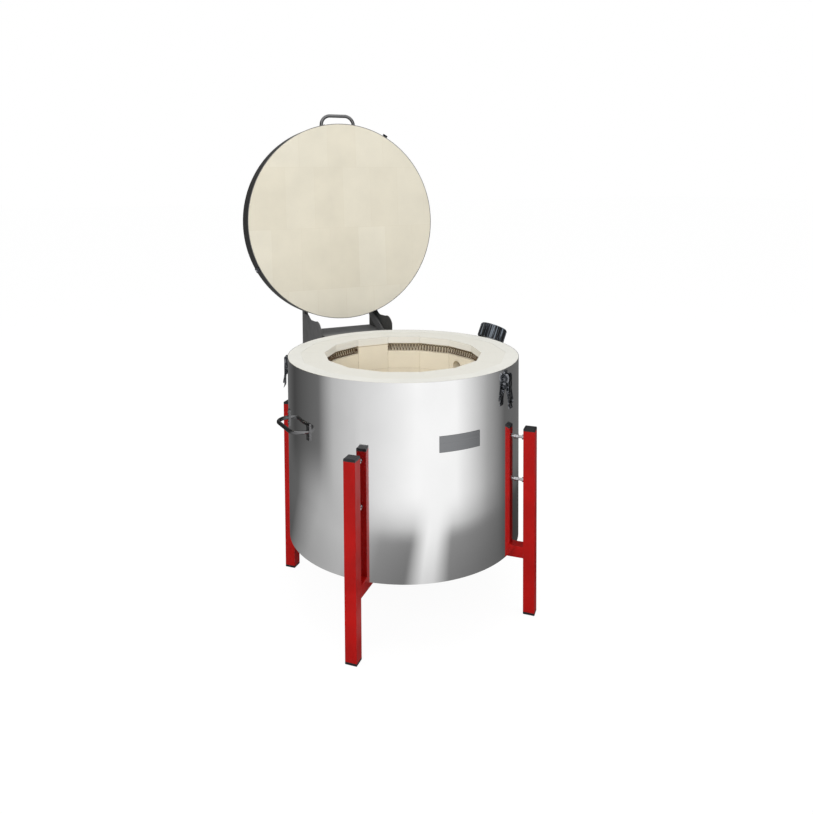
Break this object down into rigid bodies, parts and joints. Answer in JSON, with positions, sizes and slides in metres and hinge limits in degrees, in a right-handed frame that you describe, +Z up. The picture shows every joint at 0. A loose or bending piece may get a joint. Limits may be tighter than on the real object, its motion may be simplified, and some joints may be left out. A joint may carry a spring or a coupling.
{
  "type": "top-loading kiln",
  "caption": "Round top-loading electric kiln with its lid open: polished jacket, brick chamber with heating coils, red tube legs, latches, vent and rear terminal box.",
  "frame": {"origin": "on the floor under the chamber's vertical axis, level with the undersides of the feet", "axes": "+Z up along the chamber's axis; -Y is the front with the name plate; +Y is the back with the hinge and terminal box; +X is the right with the vent"},
  "size_m": [0.8764, 1.0017, 1.5853],
  "materials": {
    "brick": "matte",
    "insulation": "matte",
    "jacket_steel": "polished",
    "bright_steel": "polished",
    "band_steel": "satin",
    "grey_bracket": "satin",
    "pan_steel": "satin",
    "red_paint": "satin",
    "black_plastic": "satin",
    "element_wire": "matte",
    "white_ceramic": "satin",
    "plate_metal": "satin",
    "rubber": "matte"
  },
  "bodies": {
    "stand": {"base_beam_long": "red_paint", "base_beams_short": "red_paint", "base_pan": "pan_steel", "box_back_cover": "grey_bracket", "box_floor": "grey_bracket", "box_screws": "bright_steel", "box_top": "grey_bracket", "brick_course_1": "brick", "brick_course_2": "brick", "brick_course_3": "brick", "brick_course_4": "brick", "cable_gland": "black_plastic", "element_tails": "element_wire", "floor_brick_slab": "brick", "floor_insulation": "insulation", "handle_rivets": "bright_steel", "heating_coil_1": "element_wire", "heating_coil_2": "element_wire", "heating_coil_3": "element_wire", "heating_coil_4": "element_wire", "hinge_plate_left": "grey_bracket", "hinge_plate_right": "grey_bracket", "hinge_shaft": "bright_steel", "jacket": "jacket_steel", "latch_base_left": "bright_steel", "latch_base_right": "bright_steel", "latch_pins": "bright_steel", "leg_feet": "black_plastic", "leg_front_left": "red_paint", "leg_front_right": "red_paint", "leg_rear_left": "red_paint", "leg_rear_right": "red_paint", "leg_top_caps": "black_plastic", "lid_stops": "rubber", "name_plate": "plate_metal", "side_handle_left": "bright_steel", "side_handle_right": "bright_steel", "standoff_studs": "bright_steel", "tail_bushings": "white_ceramic", "terminal_blocks": "white_ceramic", "thermocouple": "white_ceramic", "vent_liner": "white_ceramic", "vent_pipe": "jacket_steel", "wall_insulation": "insulation"},
    "lid": {"lid_brick_slab": "brick", "lid_band": "band_steel", "lid_cover": "band_steel", "lid_handle": "bright_steel", "lid_keepers": "bright_steel", "hinge_arm_left": "grey_bracket", "hinge_arm_right": "grey_bracket", "arm_screws": "bright_steel"},
    "lever_left": {"latch_lever_left": "bright_steel"},
    "lever_right": {"latch_lever_right": "bright_steel"},
    "bail_left": {"latch_bail_left": "bright_steel"},
    "bail_right": {"latch_bail_right": "bright_steel"},
    "vent_cap": {"vent_cap": "black_plastic"}
  },
  "joints": [
    {"name": "lid_hinge", "type": "hinge", "parent": "stand", "child": "lid", "pos_m": [0, 0.451, 0.7286], "axis": [1, 0, 0], "range_deg": [0, 93.8]},
    {"name": "latch_lever_left_swing", "type": "hinge", "parent": "stand", "child": "lever_left", "pos_m": [-0.33707, 0.17175, 0.758], "axis": [0.454, 0.891, 0], "range_deg": [0, 110]},
    {"name": "latch_bail_left_swing", "type": "hinge", "parent": "lever_left", "child": "bail_left", "pos_m": [-0.33484, 0.17061, 0.736], "axis": [-0.454, -0.891, 0], "range_deg": [-167, 0]},
    {"name": "latch_lever_right_swing", "type": "hinge", "parent": "stand", "child": "lever_right", "pos_m": [0.18915, -0.32762, 0.758], "axis": [-0.866, -0.5, 0], "range_deg": [0, 110]},
    {"name": "latch_bail_right_swing", "type": "hinge", "parent": "lever_right", "child": "bail_right", "pos_m": [0.1879, -0.32545, 0.736], "axis": [0.866, 0.5, 0], "range_deg": [-167, 0]},
    {"name": "vent_cap_turn", "type": "hinge", "parent": "stand", "child": "vent_cap", "pos_m": [0.41026, 0.12152, 0.7803], "axis": [0.4308, 0.1276, 0.8934], "range_deg": [0, 60]}
  ]
}
